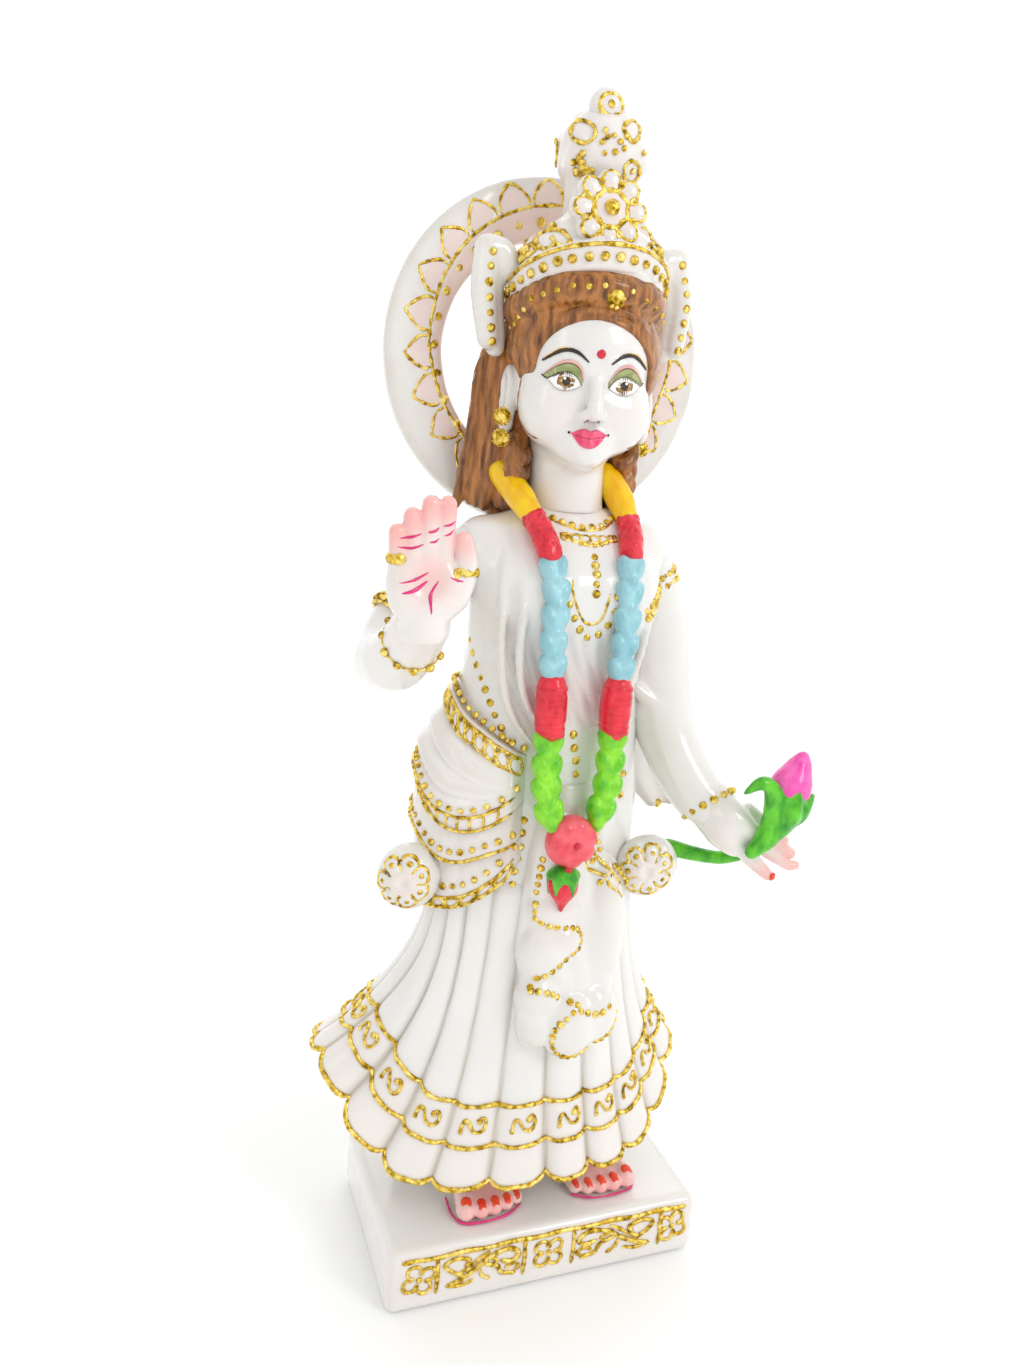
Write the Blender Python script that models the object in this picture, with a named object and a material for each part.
"""Standing goddess figurine: a white cast-resin figure on a plinth, with piped gold ornament,
a flower garland, a crown, a halo ring and a lotus in the left hand.

Frame: origin at the centre of the underside, +Z up, +X to the figure's left, -Y to its front.
Places and sizes below are in millimetres and are multiplied by MM where a mesh is made.
"""
import math

import bmesh
import bpy
from mathutils import Matrix, Vector

MM = 0.001
GAP = 0.3                    # clearance between neighbouring pieces
TOTAL_HEIGHT = 381.5

# plinth
PLINTH_WIDTH = 113.0
PLINTH_DEPTH = 69.0
PLINTH_TOP = 23.0
PLINTH_EDGE = 2.6            # rounding of its edges
EDGE_STEPS = 3
RELIEF_THICKNESS = 0.9
RELIEF_PANELS = 5
RELIEF_RAIL = 1.6            # width of the relief's rail and bars
RELIEF_TOP = 20.5
RELIEF_BOTTOM = 5.5

# skirt
PLEATS = 22
SKIRT_TOP = 138.0
SKIRT_CENTRE_Y = 12.5
HEM_LEFT = 61.0              # reach of the hem to the figure's left
HEM_RIGHT = 73.0
HEM_FRONT = 42.0             # reach of the hem in front of the skirt's centre
HEM_BACK = 32.0
HEM_LOW = 38.5               # height of the hem in front
PLEAT_DEPTH = 2.4
WAIST_HALF_WIDTH = 36.0
WAIST_HALF_DEPTH = 23.5
FLARE = 1.63                 # how late the skirt spreads on its way down
SIDE_FLARE = 0.55            # the sides spread later still
BORDER_HEIGHTS = (0.03, 0.13, 0.27)    # gold lines, as shares of the way from hem to waist
BORDER_RADIUS = 0.9
BORDER_LIFT = 2.1            # how far their centre lines stand off the cloth

# body
TORSO_TOP = 262.0
BODY_LEVELS = (              # height, centre x, centre y, half width, half depth
    (138.3, -2.5, 3.0, 35.5, 23.0),
    (152.0, -3.5, 3.0, 36.5, 23.5),
    (167.0, -4.0, 2.6, 36.5, 23.2),
    (184.0, -4.0, 2.0, 34.5, 21.8),
    (199.0, -3.2, 1.0, 31.8, 20.5),
    (213.0, -2.0, 0.3, 30.5, 20.2),
    (229.0, -1.0, -0.6, 32.0, 20.6),
    (241.0, -1.0, 0.0, 33.5, 20.0),
    (249.0, -1.0, 1.5, 33.0, 18.0),
    (255.5, -1.2, 3.0, 27.0, 15.0),
    (259.5, -1.4, 3.6, 18.5, 12.5),
    (TORSO_TOP, -1.5, 3.8, 13.0, 11.0),
)
HEAD_LEVELS = (
    (TORSO_TOP + GAP, -1.5, 3.8, 11.5, 10.5),
    (269.0, -1.8, 3.2, 10.4, 10.4),
    (273.5, -2.2, 0.0, 10.8, 12.5),
    (277.5, -2.5, -2.2, 14.0, 15.6),
    (284.0, -2.4, -2.0, 18.4, 18.6),
    (292.0, -2.2, -1.2, 20.8, 20.2),
    (302.0, -2.0, -0.6, 21.9, 21.2),
    (312.0, -2.0, 0.0, 21.8, 21.4),
    (321.0, -2.0, 0.6, 19.4, 19.6),
    (328.0, -2.0, 1.0, 13.5, 14.0),
)
HAIRLINE = 315.0
EARRING_PROFILE = (          # two balls, one over the other: radius, height
    (0.5, -6.4), (2.4, -5.6), (3.0, -3.6), (2.2, -1.3), (1.3, -0.4), (2.0, 0.4), (2.6, 2.4),
    (1.8, 4.4), (0.4, 5.2),
)
EARRINGS = (("earring_right", (-27.5, -3.0, 284.5)), ("earring_left", (22.0, 2.0, 284.5)))

# halo
HALO_CENTRE = Vector((-4.0, 25.0, 307.3))
HALO_OUTER = 54.6
HALO_INNER = 35.5
HALO_THICKNESS = 6.0
HALO_SIDES = 40

# garland strands, from the neck down to the round flower
STRAND_RIGHT = ((-13.5, 2.0, 271.0), (-17.8, -11.0, 257.5), (-15.6, -20.5, 245.2), (-14.0, -24.5, 227.0),
                (-13.0, -25.0, 209.4), (-13.0, -25.5, 194.1), (-12.8, -27.0, 178.0), (-10.0, -27.5, 164.5))
STRAND_LEFT = ((10.5, 2.0, 272.0), (14.4, -10.0, 258.3), (11.5, -20.5, 246.0), (10.0, -24.5, 227.0),
               (9.0, -25.0, 209.2), (8.5, -25.5, 194.1), (7.5, -27.0, 178.0), (4.5, -27.5, 165.0))
STRAND_SPLITS = (0, 1, 2, 4, 5, 7)    # which path points end one length and start the next
STRAND_NAMES = ("yellow", "rose", "blue_leaf", "red", "green_leaf")
STRAND_COLOURS = ("yellow", "rose", "sky", "rose", "leaf")
STRAND_JOINT = 0.7           # each length stops this far short of the shared point
STRAND_RADII = (3.4, 4.2, 4.3, 4.6, 4.2)
FLOWER = Vector((-4.0, -28.5, 160.0))
FLOWER_RADIUS = 8.2

COLOURS = {                  # base colour, roughness, metallic
    "resin": ((0.93, 0.91, 0.88), 0.18, 0.0),
    "gold": ((0.72, 0.50, 0.12), 0.35, 1.0),
    "hair": ((0.42, 0.20, 0.07), 0.30, 0.0),
    "skin": ((0.92, 0.55, 0.50), 0.25, 0.0),
    "yellow": ((0.98, 0.72, 0.03), 0.25, 0.0),
    "rose": ((0.86, 0.10, 0.16), 0.25, 0.0),
    "sky": ((0.52, 0.76, 0.84), 0.25, 0.0),
    "leaf": ((0.30, 0.74, 0.12), 0.25, 0.0),
    "stem": ((0.05, 0.50, 0.08), 0.25, 0.0),
    "lotus": ((0.88, 0.16, 0.60), 0.25, 0.0),
    "steel": ((0.60, 0.60, 0.62), 0.35, 1.0),
}


def clear_scene():
    for thing in list(bpy.data.objects):
        bpy.data.objects.remove(thing)


def make_collection(name):
    collection = bpy.data.collections.new(name)
    bpy.context.scene.collection.children.link(collection)
    return collection


def make_finishes():
    finishes = {}
    for name, (colour, roughness, metallic) in COLOURS.items():
        finish = bpy.data.materials.new(name)
        finish.use_nodes = True
        shader = finish.node_tree.nodes["Principled BSDF"]
        shader.inputs["Base Color"].default_value = (*colour, 1.0)
        shader.inputs["Roughness"].default_value = roughness
        shader.inputs["Metallic"].default_value = metallic
        finishes[name] = finish
    return finishes


clear_scene()
STATUE = make_collection("goddess_statue")
CUTTERS = make_collection("cutters")
FINISH = make_finishes()
PIECES = {}


# ---------------------------------------------------------------- mesh tools

def place_object(name, mesh, finish, collection):
    thing = bpy.data.objects.new(name, mesh)
    collection.objects.link(thing)
    if finish:
        mesh.materials.append(FINISH[finish])
    return thing


def add_piece(name, bm, finish):
    """Turn a closed bmesh in metres into a named piece of the statue."""
    bmesh.ops.remove_doubles(bm, verts=bm.verts, dist=0.00002)
    bmesh.ops.recalc_face_normals(bm, faces=bm.faces)
    mesh = bpy.data.meshes.new(name)
    bm.to_mesh(mesh)
    bm.free()
    mesh.shade_smooth()
    mesh.set_sharp_from_angle(angle=math.radians(45.0))
    piece = place_object(name, mesh, finish, STATUE)
    PIECES[name] = piece
    return piece


def loft(name, rings, finish, closed=False):
    """Skin a list of rings with equal point counts; closed joins the last ring to the first."""
    bm = bmesh.new()
    loops = [[bm.verts.new(Vector(point) * MM) for point in ring] for ring in rings]
    pairs = list(zip(loops, loops[1:]))
    if closed:
        pairs.append((loops[-1], loops[0]))
    for low, high in pairs:
        for here in range(len(low)):
            after = (here + 1) % len(low)
            bm.faces.new((low[here], low[after], high[after], high[here]))
    if not closed:
        bm.faces.new(list(reversed(loops[0])))
        bm.faces.new(loops[-1])
    return add_piece(name, bm, finish)


def ellipse(height, centre_x, centre_y, half_width, half_depth, count=24):
    points = []
    for step in range(count):
        angle = 2.0 * math.pi * step / count
        points.append((centre_x + half_width * math.cos(angle),
                       centre_y + half_depth * math.sin(angle), height))
    return points


def smooth_path(points, steps):
    """Catmull-Rom curve through the points, with the given number of steps per span."""
    points = [Vector(point) for point in points]
    ends = [points[0] * 2.0 - points[1]] + points + [points[-1] * 2.0 - points[-2]]
    path = []
    for span in range(len(points) - 1):
        before, start, stop, after = ends[span:span + 4]
        for step in range(steps):
            t = step / steps
            path.append(0.5 * (2.0 * start + (stop - before) * t
                               + (2.0 * before - 5.0 * start + 4.0 * stop - after) * t * t
                               + (3.0 * start - before - 3.0 * stop + after) * t ** 3))
    path.append(points[-1])
    return path


def tube(name, path, radii, finish, sides=8, cyclic=False):
    """A round bar along a path, as a bevelled curve turned into a mesh."""
    if not isinstance(radii, (list, tuple)):
        radii = [radii] * len(path)
    curve = bpy.data.curves.new(name, "CURVE")
    curve.dimensions = "3D"
    curve.bevel_depth = MM
    curve.bevel_resolution = sides // 2 - 2
    curve.use_fill_caps = not cyclic
    spline = curve.splines.new("POLY")
    spline.points.add(len(path) - 1)
    spline.use_cyclic_u = cyclic
    for point, place, radius in zip(spline.points, path, radii):
        point.co = (*(Vector(place) * MM), 1.0)
        point.radius = radius
    guide = place_object(name + "_guide", curve, None, CUTTERS)
    bpy.context.view_layer.update()
    graph = bpy.context.evaluated_depsgraph_get()
    mesh = bpy.data.meshes.new_from_object(guide.evaluated_get(graph))
    bm = bmesh.new()
    bm.from_mesh(mesh)
    bpy.data.objects.remove(guide)
    return add_piece(name, bm, finish)


def spread(values, count):
    """Values read off evenly along a list, blended between its entries."""
    result = []
    for step in range(count):
        place = step * (len(values) - 1) / (count - 1)
        low = min(int(place), len(values) - 2)
        result.append(values[low] + (values[low + 1] - values[low]) * (place - low))
    return result


def limb(name, points, radii, finish, steps=3, sides=12):
    path = smooth_path(points, steps)
    return tube(name, path, spread(radii, len(path)), finish, sides)


def ball(name, centre, radii, finish, segments=12, rings=8, turn=0.0):
    bm = bmesh.new()
    bmesh.ops.create_uvsphere(bm, u_segments=segments, v_segments=rings, radius=1.0)
    shape = (Matrix.Translation(Vector(centre) * MM) @ Matrix.Rotation(math.radians(turn), 4, "Z")
             @ Matrix.Diagonal((*(Vector(radii) * MM), 1.0)))
    bmesh.ops.transform(bm, matrix=shape, verts=bm.verts)
    return add_piece(name, bm, finish)


def box(name, low, high, finish, edge):
    """A block between two corners, with rounded edges."""
    low = Vector(low)
    high = Vector(high)
    bm = bmesh.new()
    bmesh.ops.create_cube(bm, size=1.0)
    shape = (Matrix.Translation((low + high) * 0.5 * MM)
             @ Matrix.Diagonal((*((high - low) * MM), 1.0)))
    bmesh.ops.transform(bm, matrix=shape, verts=bm.verts)
    bmesh.ops.bevel(bm, geom=bm.edges, offset=edge * MM, segments=EDGE_STEPS, affect="EDGES",
                    profile=0.5)
    return add_piece(name, bm, finish)


def turned(name, profile, base, finish, segments=16, axis="Z"):
    """A solid of revolution about a vertical (or front-to-back) axis through the base point."""
    rings = []
    for radius, height in profile:
        ring = []
        for step in range(segments):
            angle = 2.0 * math.pi * step / segments
            across = radius * math.cos(angle)
            along = radius * math.sin(angle)
            if axis == "Z":
                ring.append(Vector(base) + Vector((across, along, height)))
            else:
                ring.append(Vector(base) + Vector((across, -height, along)))
        rings.append(ring)
    return loft(name, rings, finish)


def ring_around(name, centre, direction, inner, outer, width, finish, sides=12):
    """A flat ring worn around a limb that runs in the given direction."""
    turn = Vector(direction).to_track_quat("Z", "Y")
    rings = []
    for radius, height in ((outer, -width / 2), (outer, width / 2), (inner, width / 2), (inner, -width / 2)):
        ring = []
        for step in range(sides):
            angle = 2.0 * math.pi * step / sides
            local = Vector((radius * math.cos(angle), radius * math.sin(angle), height))
            ring.append(Vector(centre) + turn @ local)
        rings.append(ring)
    return loft(name, rings, finish, closed=True)


def grown_copy(piece, margin=GAP):
    """A copy of a piece swollen by the clearance, for cutting its seat in a neighbour."""
    bpy.context.view_layer.update()
    graph = bpy.context.evaluated_depsgraph_get()
    mesh = bpy.data.meshes.new_from_object(piece.evaluated_get(graph))
    bm = bmesh.new()
    bm.from_mesh(mesh)
    bmesh.ops.recalc_face_normals(bm, faces=bm.faces)
    shifts = [(vert, vert.normal * min(vert.calc_shell_factor(), 2.0)) for vert in bm.verts]
    for vert, shift in shifts:
        vert.co += shift * margin * MM
    bm.to_mesh(mesh)
    bm.free()
    cutter = place_object(piece.name + "_seat_cutter", mesh, None, CUTTERS)
    cutter.hide_render = True
    cutter.display_type = "WIRE"
    return cutter


def cut_by(piece, cutter):
    cut = piece.modifiers.new("cut by " + cutter.name, "BOOLEAN")
    cut.operation = "DIFFERENCE"
    cut.solver = "EXACT"
    cut.object = cutter


def seat(piece_name, *neighbour_names):
    """Cut room into a piece for the neighbours that sit in it or on it."""
    for neighbour in neighbour_names:
        cut_by(PIECES[piece_name], grown_copy(PIECES[neighbour]))


def body_section(height):
    """Centre and half sizes of the body at a height, blended between its levels."""
    for low, high in zip(BODY_LEVELS, BODY_LEVELS[1:]):
        if height <= high[0]:
            share = max(0.0, (height - low[0]) / (high[0] - low[0]))
            return [a + (b - a) * share for a, b in zip(low[1:], high[1:])]
    return list(BODY_LEVELS[-1][1:])


def on_body(angle, height, lift=0.0):
    """Point on the body at an angle in degrees (0 = figure's left, -90 = front) and a height."""
    centre_x, centre_y, half_width, half_depth = body_section(height)
    turn = math.radians(angle)
    return Vector((centre_x + (half_width + lift) * math.cos(turn),
                   centre_y + (half_depth + lift) * math.sin(turn), height))


def ease(value):
    value = min(1.0, max(0.0, value))
    return value * value * (3.0 - 2.0 * value)


# ---------------------------------------------------------------- base

def make_base():
    half_width = PLINTH_WIDTH / 2
    half_depth = PLINTH_DEPTH / 2
    box("plinth", (-half_width, -half_depth, 0.0), (half_width, half_depth, PLINTH_TOP), "resin",
        PLINTH_EDGE)
    make_plinth_relief(-half_depth - GAP)


def make_plinth_relief(back_y):
    """A comb of one rail and upright bars, laid against the plinth's front face."""
    half = PLINTH_WIDTH / 2 - 3.5
    pitch = (2 * half - RELIEF_RAIL) / RELIEF_PANELS
    outline = [(half, RELIEF_TOP), (-half, RELIEF_TOP)]
    for bar in range(RELIEF_PANELS + 1):
        left = -half + bar * pitch
        right = left + RELIEF_RAIL
        outline += [(left, RELIEF_BOTTOM), (right, RELIEF_BOTTOM)]
        if bar < RELIEF_PANELS:
            outline += [(right, RELIEF_TOP - RELIEF_RAIL), (left + pitch, RELIEF_TOP - RELIEF_RAIL)]
    bm = bmesh.new()
    front = [bm.verts.new(Vector((x, back_y - RELIEF_THICKNESS, z)) * MM) for x, z in outline]
    face = bm.faces.new(front)
    grown = bmesh.ops.extrude_face_region(bm, geom=[face])
    moved = [item for item in grown["geom"] if isinstance(item, bmesh.types.BMVert)]
    bmesh.ops.translate(bm, verts=moved, vec=(0.0, RELIEF_THICKNESS * MM, 0.0))
    add_piece("plinth_relief", bm, "gold")


def make_foot(name, toe, heel):
    """A bare foot that points forward, rounded over the toes."""
    rings = []
    for share, half_width, height in ((0.0, 6.0, 5.0), (0.06, 9.6, 6.2), (0.3, 10.6, 8.0),
                                      (0.6, 8.6, 11.0), (0.9, 7.8, 12.0), (1.0, 5.0, 9.0)):
        middle = Vector(toe).lerp(Vector(heel), share)
        ring = []
        for step in range(10):
            angle = math.pi * step / 9
            ring.append(middle + Vector((half_width * math.cos(angle), 0.0,
                                         height * max(0.0, math.sin(angle)) ** 0.7)))
        rings.append(ring)
    loft(name, rings, "skin")


# ---------------------------------------------------------------- skirt

def hem_height(angle):
    """The hem dips in front and rises towards both sides."""
    forward = math.sin(angle)
    towards_right = 0.5 - 0.5 * math.cos(angle)
    rise = 29.0 + 7.0 * towards_right
    return HEM_LOW + rise * ease((forward + 0.9) / 0.8) - 5.0 * ease((forward - 0.3) / 0.7)


def skirt_point(angle, share, depth=PLEAT_DEPTH, lift=0.0):
    """Point on the skirt; share runs from 0 at the hem to 1 at its top."""
    cos, sin = math.cos(angle), math.sin(angle)
    flare = (1.0 - share) ** (FLARE + SIDE_FLARE * cos * cos)
    hem_x = HEM_LEFT if cos > 0 else HEM_RIGHT
    hem_y = HEM_BACK if sin > 0 else HEM_FRONT
    half_width = WAIST_HALF_WIDTH + (hem_x - WAIST_HALF_WIDTH) * flare + lift
    half_depth = WAIST_HALF_DEPTH + (hem_y - WAIST_HALF_DEPTH) * flare + lift
    centre_y = 3.0 + (SKIRT_CENTRE_Y - 3.0) * flare
    pleat = 1.0 + depth * (0.25 + 0.75 * flare) * math.cos(PLEATS * angle) / half_width
    low = hem_height(angle)
    centre_x = BODY_LEVELS[0][1] + 1.5 * flare
    return Vector((centre_x + half_width * cos * pleat, centre_y + half_depth * sin * pleat,
                   low + (SKIRT_TOP - low) * share))


def skirt_ring(share, lift=0.0, drop=0.0, shrink=1.0):
    ring = []
    for step in range(2 * PLEATS):
        point = skirt_point(math.pi * step / PLEATS, share, lift=lift)
        ring.append(Vector((point.x * shrink, SKIRT_CENTRE_Y + (point.y - SKIRT_CENTRE_Y) * shrink,
                            point.z - drop)))
    return ring


def make_skirt():
    foot = [Vector((point.x * 0.58, SKIRT_CENTRE_Y - 2.0 + (point.y - SKIRT_CENTRE_Y) * 0.55,
                    PLINTH_TOP + GAP)) for point in skirt_ring(0.0)]
    rings = [foot]
    rings.append(skirt_ring(0.0, drop=4.0, shrink=0.62))
    rings.append(skirt_ring(0.0, drop=2.5, shrink=0.95))
    for share in (0.0, 0.03, 0.13, 0.27, 0.45, 0.65, 0.85, 1.0):
        rings.append(skirt_ring(share))
    loft("skirt", rings, "resin")
    for name, share in zip(("hem_trim", "skirt_border_lower", "skirt_border_upper"), BORDER_HEIGHTS):
        tube(name, skirt_ring(share, lift=BORDER_LIFT), BORDER_RADIUS, "gold", 6, cyclic=True)


# ---------------------------------------------------------------- drapery

def make_torso():
    loft("torso", [ellipse(*level) for level in BODY_LEVELS], "resin")


HIP_DRAPES = (               # name, upper edge and lower edge at the back, side and front, overhang
    ("waist_sash", (200.0, 199.0, 186.5), (193.0, 192.0, 176.5), 2.2),
    ("hip_drape_upper", (192.5, 191.5, 176.0), (170.0, 166.0, 168.5), 4.6),
    ("hip_drape_middle", (169.5, 165.5, 168.0), (158.0, 155.0, 161.0), 5.2),
    ("hip_drape_lower", (157.5, 154.5, 160.5), (142.0, 139.5, 146.0), 6.0),
)


def make_hip_drape(name, upper, lower, overhang):
    """A layer of cloth around the figure's right hip, from the back to beside the garland."""
    steps = 16
    rings = []
    for step in range(steps + 1):
        share = step / steps
        angle = 75.0 + 172.0 * share
        if share < 0.5:
            blend = ease(2 * share)
            top = upper[0] + (upper[1] - upper[0]) * blend
            low = lower[0] + (lower[1] - lower[0]) * blend
        else:
            blend = ease(2 * share - 1)
            top = upper[1] + (upper[2] - upper[1]) * blend
            low = lower[1] + (lower[2] - lower[1]) * blend
        taper = 0.45 + 0.55 * math.sin(math.pi * min(1.0, 0.12 + 0.88 * share))
        reach = overhang * taper
        rings.append([on_body(angle, top, -1.5), on_body(angle, top, 0.45 * reach),
                      on_body(angle, low + 1.5, reach), on_body(angle, low, reach - 0.6),
                      on_body(angle, low, -1.5)])
    loft(name, rings, "resin")


def make_front_drape():
    """The end of the sari, falling down the front of the skirt."""
    levels = ((176.0, -9.0, 7.0, -22.5), (160.0, -13.5, 12.0, -24.5), (140.0, -15.5, 15.5, -25.5),
              (120.0, -16.5, 17.5, -27.5), (104.0, -14.0, 18.5, -30.0), (93.0, -6.0, 15.0, -32.5))
    rings = []
    for height, left, right, front in levels:
        back = front + 8.0
        middle = (left + right) / 2
        rings.append([(left, back, height), (left, front + 1.8, height), (left + 2.5, front + 0.3, height),
                      (middle, front, height), (right - 2.5, front + 0.3, height),
                      (right, front + 1.8, height), (right, back, height)])
    loft("front_drape", rings, "resin")


def make_rosettes():
    for name, centre, radii, turn in (("rosette_right", (-50.0, -6.0, 142.5), (9.5, 8.0, 11.0), 20.0),
                                      ("rosette_left", (31.5, -15.0, 142.5), (11.0, 7.0, 10.5), 30.0)):
        ball(name, centre, radii, "resin", 16, 8, turn)


def make_veil_tail():
    """The loose end of cloth that hangs behind the left arm."""
    levels = ((240.0, 23.5, 18.0, 7.5), (226.0, 26.0, 18.5, 9.0), (205.0, 31.0, 17.0, 9.0),
              (185.0, 36.0, 14.0, 8.5), (168.0, 42.0, 11.0, 7.0), (156.0, 48.0, 8.5, 3.0))
    across = Vector((0.86, -0.5, 0.0))
    through = Vector((0.5, 0.86, 0.0)) * 2.0
    rings = []
    for height, middle_x, middle_y, half in levels:
        middle = Vector((middle_x, middle_y, height))
        edge = across * half
        rings.append([middle - edge - through * 0.5, middle - through, middle + edge - through * 0.5,
                      middle + edge + through * 0.5, middle + through, middle - edge + through * 0.5])
    loft("veil_tail", rings, "resin")


# ---------------------------------------------------------------- arms and hands

def make_arms():
    limb("arm_right", ((-28.0, 4.0, 246.0), (-46.0, 1.0, 234.0), (-57.0, -2.0, 220.0), (-61.0, -9.0, 212.0),
                       (-60.5, -21.0, 216.0), (-59.0, -33.0, 224.5), (-58.5, -39.0, 230.0)),
         (9.5, 9.5, 9.0, 8.6, 9.0, 8.2, 7.4), "resin")
    limb("arm_left", ((21.0, 3.5, 249.0), (29.0, 2.0, 238.0), (33.5, 1.0, 225.0), (39.0, -4.0, 202.0),
                      (44.8, -12.0, 184.8), (48.5, -21.0, 173.0)),
         (9.5, 10.0, 10.3, 10.3, 9.6, 8.8), "resin")


def make_arm_rings():
    ring_around("armlet_right", (-54.5, -1.8, 225.0), (-12.0, -4.0, -13.5), 10.0, 11.4, 3.0, "gold")
    ring_around("armlet_left", (32.8, 1.2, 228.0), (4.5, -1.0, -13.0), 10.4, 11.8, 3.0, "gold")
    ring_around("bangle_right", (-59.2, -32.0, 223.8), (1.0, -12.5, 8.0), 8.9, 10.2, 3.0, "gold")
    ring_around("bangle_left", (47.6, -19.0, 175.8), (3.7, -9.0, -11.8), 9.2, 10.5, 3.0, "gold")


PALM_RING_RADIUS = 1.2
HAND_OUTLINE = (             # right hand seen from its palm: across, up (from the wrist)
    (-7.5, 0.0), (7.0, 0.0), (9.5, 5.0), (12.0, 11.0), (12.6, 17.0), (10.8, 23.5), (8.2, 23.0),
    (7.4, 17.5), (6.2, 30.5), (3.2, 33.5), (-2.5, 33.8), (-7.2, 30.5), (-10.6, 24.0), (-11.0, 12.0),
)


def make_right_hand():
    """The blessing hand: an upright mitt with the palm to the front."""
    wrist = Vector((-59.0, -42.0, 231.5))
    bm = bmesh.new()
    outline = []
    for across, up in HAND_OUTLINE:
        outline.append(bm.verts.new((wrist + Vector((across, -3.4 - up * 0.05, up))) * MM))
    face = bm.faces.new(outline)
    grown = bmesh.ops.extrude_face_region(bm, geom=[face])
    moved = [item for item in grown["geom"] if isinstance(item, bmesh.types.BMVert)]
    bmesh.ops.translate(bm, verts=moved, vec=(0.0, 7.0 * MM, 0.0))
    rim = [edge for edge in bm.edges if abs((edge.verts[0].co - edge.verts[1].co).y) < 0.004]
    bmesh.ops.recalc_face_normals(bm, faces=bm.faces)
    bmesh.ops.bevel(bm, geom=rim, offset=1.6 * MM, segments=2, affect="EDGES", profile=0.6)
    add_piece("hand_right", bm, "skin")
    tube("palm_ring_outer", [(-71.3, -43.0, 247.0), (-69.8, -47.6, 247.2), (-67.0, -48.0, 247.6)],
         PALM_RING_RADIUS, "gold", 6)
    tube("palm_ring_thumb", [(-53.5, -47.8, 244.5), (-49.5, -48.0, 244.8), (-45.8, -45.0, 244.5)],
         PALM_RING_RADIUS, "gold", 6)


def make_left_hand_and_lotus():
    limb("hand_left",
         ((50.2, -24.5, 169.0), (55.0, -28.5, 161.5), (61.0, -31.5, 152.5), (66.0, -34.0, 145.5)),
         (8.8, 9.2, 7.2, 3.8), "skin")
    limb("lotus_stem",
         ((41.0, -12.0, 147.4), (48.2, -17.0, 147.6), (55.8, -20.5, 147.8), (62.0, -23.0, 150.0)),
         (2.4, 2.4, 2.4, 2.4), "stem", 3, 8)
    limb("lotus_leaf",
         ((58.5, -38.0, 155.8), (61.8, -38.5, 162.0), (65.0, -38.5, 169.5), (67.6, -38.5, 176.5)),
         (2.4, 3.4, 5.0, 7.2), "stem", 2, 12)
    limb("lotus_bud",
         ((68.0, -38.5, 177.6), (69.0, -38.5, 181.5), (70.3, -38.5, 186.0), (71.4, -38.5, 190.5)),
         (6.4, 6.2, 4.2, 1.2), "lotus", 2, 12)


# ---------------------------------------------------------------- head, hair and crown

def make_head():
    loft("head", [ellipse(*level) for level in HEAD_LEVELS], "resin")
    for name, middle in EARRINGS:
        turned(name, EARRING_PROFILE, middle, "gold", 10)


def make_hair():
    rings = []
    for height, grow in ((HAIRLINE, 2.4), (320.0, 2.8), (326.0, 3.2), (331.0, 1.0)):
        share = (height - 312.0) / 19.0
        half_width = 21.8 - 7.0 * share ** 2 + grow
        half_depth = 21.4 - 6.5 * share ** 2 + grow
        rings.append(ellipse(height, -2.0, 0.6, half_width, half_depth))
    loft("hair_cap", rings, "hair")
    rings = []
    for height, half_width, front, back in ((HAIRLINE - GAP, 26.0, 1.0, 21.5), (304.0, 30.0, 2.0, 21.7),
                                            (290.0, 33.0, 3.0, 21.7), (277.0, 34.0, 3.0, 21.7),
                                            (266.0, 33.0, 4.0, 21.7), (256.0, 24.0, 8.0, 21.7)):
        ring = []
        for step in range(16):
            angle = 2.0 * math.pi * step / 16
            middle = (front + back) / 2
            half = (back - front) / 2
            ring.append((-2.0 + half_width * math.cos(angle), middle + half * math.sin(angle), height))
        rings.append(ring)
    loft("hair_back", rings, "hair")


def make_crown():
    centre_x = -2.5
    rings = []
    for height, grow in ((325.5, 0.0), (330.0, 1.0), (336.0, 2.2)):
        rings.append(ellipse(height, centre_x, 0.5, 24.5 + grow, 24.0 + grow))
    for height, grow in ((336.0, 0.4), (332.0, -0.6), (325.5, -3.0)):
        rings.append(ellipse(height, centre_x, 0.5, 24.5 + grow, 24.0 + grow))
    loft("crown_band", rings, "resin", closed=True)
    profile = ((21.5, 331.6), (21.2, 336.5), (18.5, 340.5), (14.0, 345.0), (11.2, 350.0), (11.0, 354.0),
               (13.0, 358.0), (13.8, 363.0), (13.4, 368.5), (11.0, 373.5), (6.0, 376.5))
    rings = [ellipse(height, -1.2, 1.0, radius, radius, 20) for radius, height in profile]
    loft("crown_tower", rings, "resin")
    turned("crown_finial", ((4.2, 376.8), (4.8, 378.2), (3.6, 380.4), (1.2, TOTAL_HEIGHT)),
           (-1.2, 1.0, 0.0), "gold", 12)
    turned("crown_medallion", ((11.0, 0.0), (11.6, 1.4), (9.0, 3.0), (4.5, 3.4), (3.0, 6.0)),
           (-3.5, -10.5, 346.0), "gold", 16, axis="Y")
    turned("forehead_drop", ((2.2, 0.0), (2.6, 1.0), (1.4, 2.0)), (-2.5, -23.2, 321.0), "gold", 10, axis="Y")
    wing_radii = (2.8, 3.6, 3.9, 3.9, 3.2)
    limb("veil_wing_right",
         ((-26.5, 4.0, 332.0), (-30.5, 4.0, 337.5), (-35.0, 4.0, 337.0), (-34.8, 4.5, 324.0),
          (-31.8, 5.0, 308.0)), wing_radii, "resin", 3, 10)
    limb("veil_wing_left",
         ((21.5, 4.0, 333.0), (25.0, 4.0, 340.0), (29.5, 4.0, 340.0), (32.5, 4.5, 328.0),
          (31.5, 5.0, 314.0)), wing_radii, "resin", 3, 10)


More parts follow.
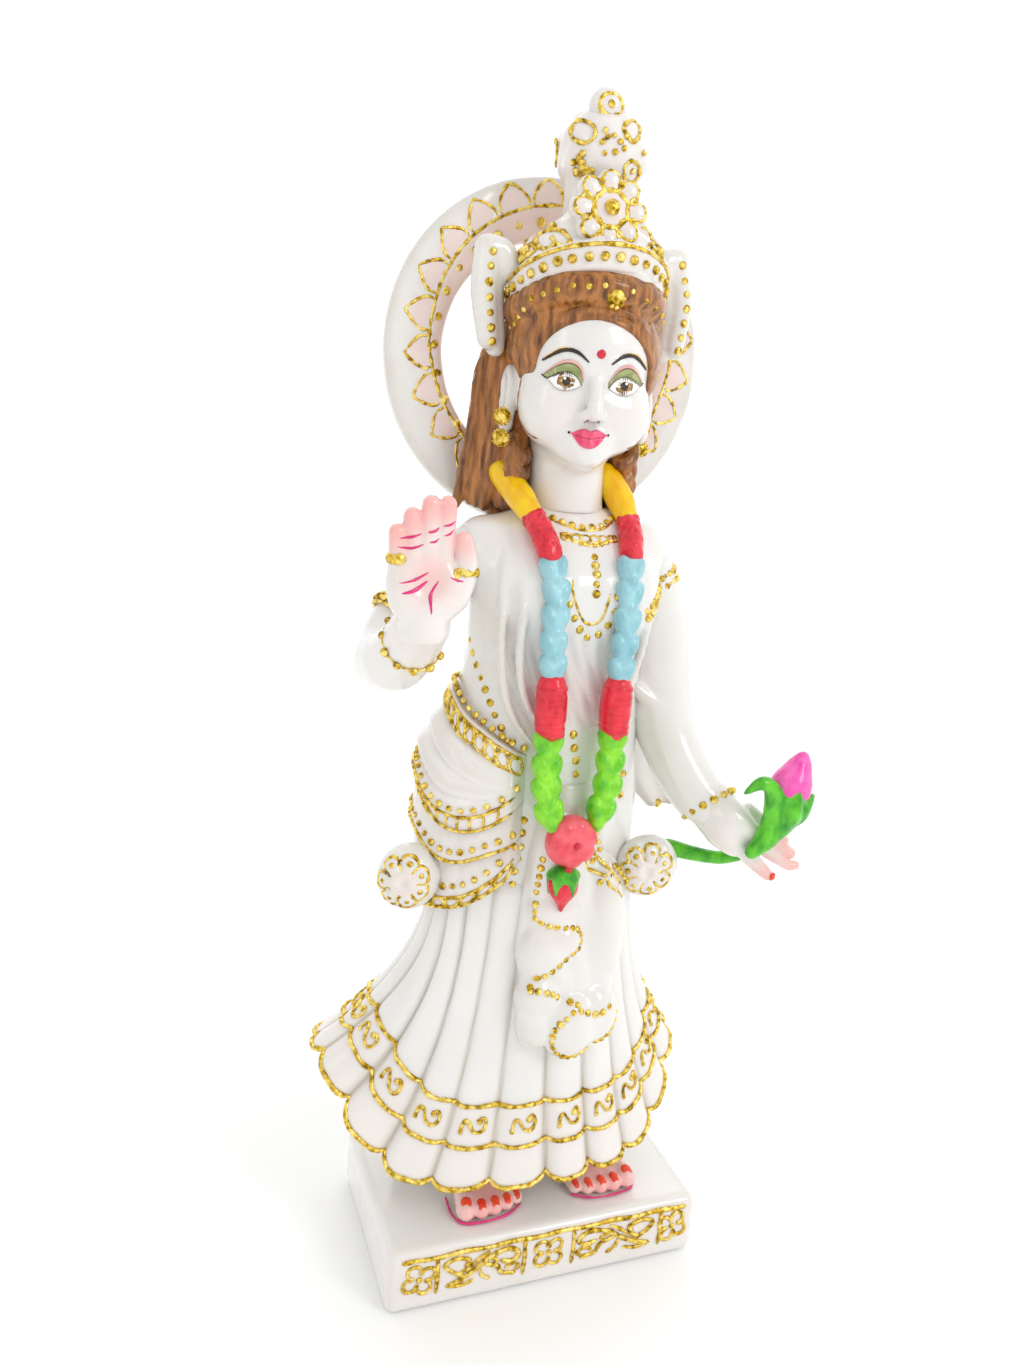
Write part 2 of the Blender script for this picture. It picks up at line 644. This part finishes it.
def make_halo():
    rings = []
    half = HALO_THICKNESS / 2
    for radius, depth in ((HALO_INNER, -half + 1.0), (HALO_INNER + 1.0, -half), (HALO_OUTER - 1.0, -half),
                          (HALO_OUTER, -half + 1.0), (HALO_OUTER, half - 1.0), (HALO_INNER, half - 1.0)):
        ring = []
        for step in range(HALO_SIDES):
            angle = 2.0 * math.pi * step / HALO_SIDES
            ring.append(HALO_CENTRE + Vector((radius * math.cos(angle), depth, radius * math.sin(angle))))
        rings.append(ring)
    loft("halo", rings, "resin", closed=True)


# ---------------------------------------------------------------- necklaces and garland

def make_necklaces():
    collar = [on_body(angle, height, 0.4) for angle, height in
              ((-106, 255.2), (-98, 254.2), (-89, 254.0), (-80, 254.2), (-72, 255.2))]
    tube("collar_necklace", collar, 1.3, "gold", 6)
    loop = [on_body(angle, height, 0.4) for angle, height in
            ((-101, 240.0), (-101, 232.0), (-99, 226.0), (-95, 222.8), (-90, 222.0), (-86, 223.5),
             (-83, 227.0), (-82, 233.0), (-82, 240.0))]
    tube("long_necklace", loop, 1.1, "gold", 6)


def make_strand(side, route):
    for index, part_name in enumerate(STRAND_NAMES):
        first, last = STRAND_SPLITS[index:index + 2]
        path = smooth_path(route, 3)[first * 3:last * 3 + 1]
        start = path[0] + (path[1] - path[0]).normalized() * STRAND_JOINT
        stop = path[-1] + (path[-2] - path[-1]).normalized() * STRAND_JOINT
        trimmed = [start] + path[1:-1] + [stop]
        tube("garland_%s_%s" % (part_name, side), trimmed, STRAND_RADII[index], STRAND_COLOURS[index], 10)


def make_garland():
    make_strand("right", STRAND_RIGHT)
    make_strand("left", STRAND_LEFT)
    turned("garland_flower",
           ((6.5, -3.5), (FLOWER_RADIUS, -1.0), (FLOWER_RADIUS, 1.5), (5.5, 3.8), (2.0, 4.4)),
           FLOWER, "rose", 16, axis="Y")
    turned("garland_bud", ((0.8, -16.0), (3.6, -12.0), (5.2, -7.5), (4.8, -3.5), (2.2, 0.0)),
           (FLOWER.x - 1.0, FLOWER.y, FLOWER.z - FLOWER_RADIUS - 0.4), "rose", 12)


# ---------------------------------------------------------------- hidden dowels

DOWELS = (                   # name, centre x, centre y, bottom, top, radius, pieces it joins
    ("waist_dowel", -1.0, 3.0, 124.0, 154.0, 4.0, ("skirt", "torso")),
    ("neck_dowel", -1.8, 3.5, 250.0, 274.0, 2.5, ("torso", "head")),
)


def make_dowels():
    for name, centre_x, centre_y, bottom, top, radius, joined in DOWELS:
        profile = ((radius, bottom), (radius, top))
        turned(name, profile, (centre_x, centre_y, 0.0), "steel", 16)
        for piece in joined:
            seat(piece, name)


# ---------------------------------------------------------------- seats

STRANDS = tuple("garland_%s_%s" % (part_name, side) for side in ("right", "left")
                for part_name in STRAND_NAMES)
GREEN_ENDS = ("garland_green_leaf_right", "garland_green_leaf_left")
YELLOW_ENDS = ("garland_yellow_right", "garland_yellow_left")
ALL_HIP_DRAPES = tuple(drape[0] for drape in HIP_DRAPES)
SEATS = (                    # a piece, and the neighbours that it gives way to, in working order
    ("arm_right", ("armlet_right", "bangle_right")),
    ("arm_left", ("armlet_left", "bangle_left")),
    ("garland_flower", GREEN_ENDS),
    ("head", YELLOW_ENDS + ("earring_right", "earring_left")),
    ("torso", ("arm_right", "arm_left", "armlet_left", "collar_necklace", "long_necklace", "halo",
               "garland_flower") + STRANDS),
    ("skirt", ("foot_right", "foot_left")),
    ("hair_cap", ("head",)),
    ("hair_back", ("head", "torso", "halo", "arm_right", "arm_left", "earring_right", "earring_left")
     + YELLOW_ENDS),
    ("crown_band", ("hair_cap", "head")),
    ("crown_tower", ("hair_cap", "crown_band")),
    ("crown_medallion", ("crown_tower", "crown_band")),
    ("forehead_drop", ("head", "hair_cap", "crown_band")),
    ("veil_wing_right", ("crown_band", "crown_tower", "hair_cap", "hair_back")),
    ("veil_wing_left", ("crown_band", "crown_tower", "hair_cap", "hair_back")),
    ("waist_sash", ("torso",)),
    ("hip_drape_upper", ("torso",)),
    ("hip_drape_middle", ("torso",)),
    ("hip_drape_lower", ("torso",)),
    ("front_drape", ("torso", "skirt", "garland_flower", "garland_bud") + GREEN_ENDS + ALL_HIP_DRAPES),
    ("rosette_right", ("torso", "skirt") + ALL_HIP_DRAPES),
    ("rosette_left", ("torso", "skirt", "front_drape", "lotus_stem")),
    ("veil_tail", ("torso", "arm_left", "armlet_left", "rosette_left", "lotus_stem")),
    ("hand_right", ("arm_right", "palm_ring_outer", "palm_ring_thumb")),
    ("hand_left", ("arm_left", "bangle_left", "lotus_stem", "lotus_leaf")),
)


def cut_seats():
    for piece, neighbours in SEATS:
        seat(piece, *neighbours)


# ---------------------------------------------------------------- assembly

def main():
    make_base()
    make_foot("foot_right", (-19.5, -27.5, PLINTH_TOP + GAP), (-15.0, 10.0, PLINTH_TOP + GAP))
    make_foot("foot_left", (24.5, -27.0, PLINTH_TOP + GAP), (17.0, 10.0, PLINTH_TOP + GAP))
    make_skirt()
    make_torso()
    for drape in HIP_DRAPES:
        make_hip_drape(*drape)
    make_front_drape()
    make_rosettes()
    make_veil_tail()
    make_arms()
    make_arm_rings()
    make_right_hand()
    make_left_hand_and_lotus()
    make_head()
    make_hair()
    make_crown()
    make_halo()
    make_necklaces()
    make_garland()
    cut_seats()
    make_dowels()


main()
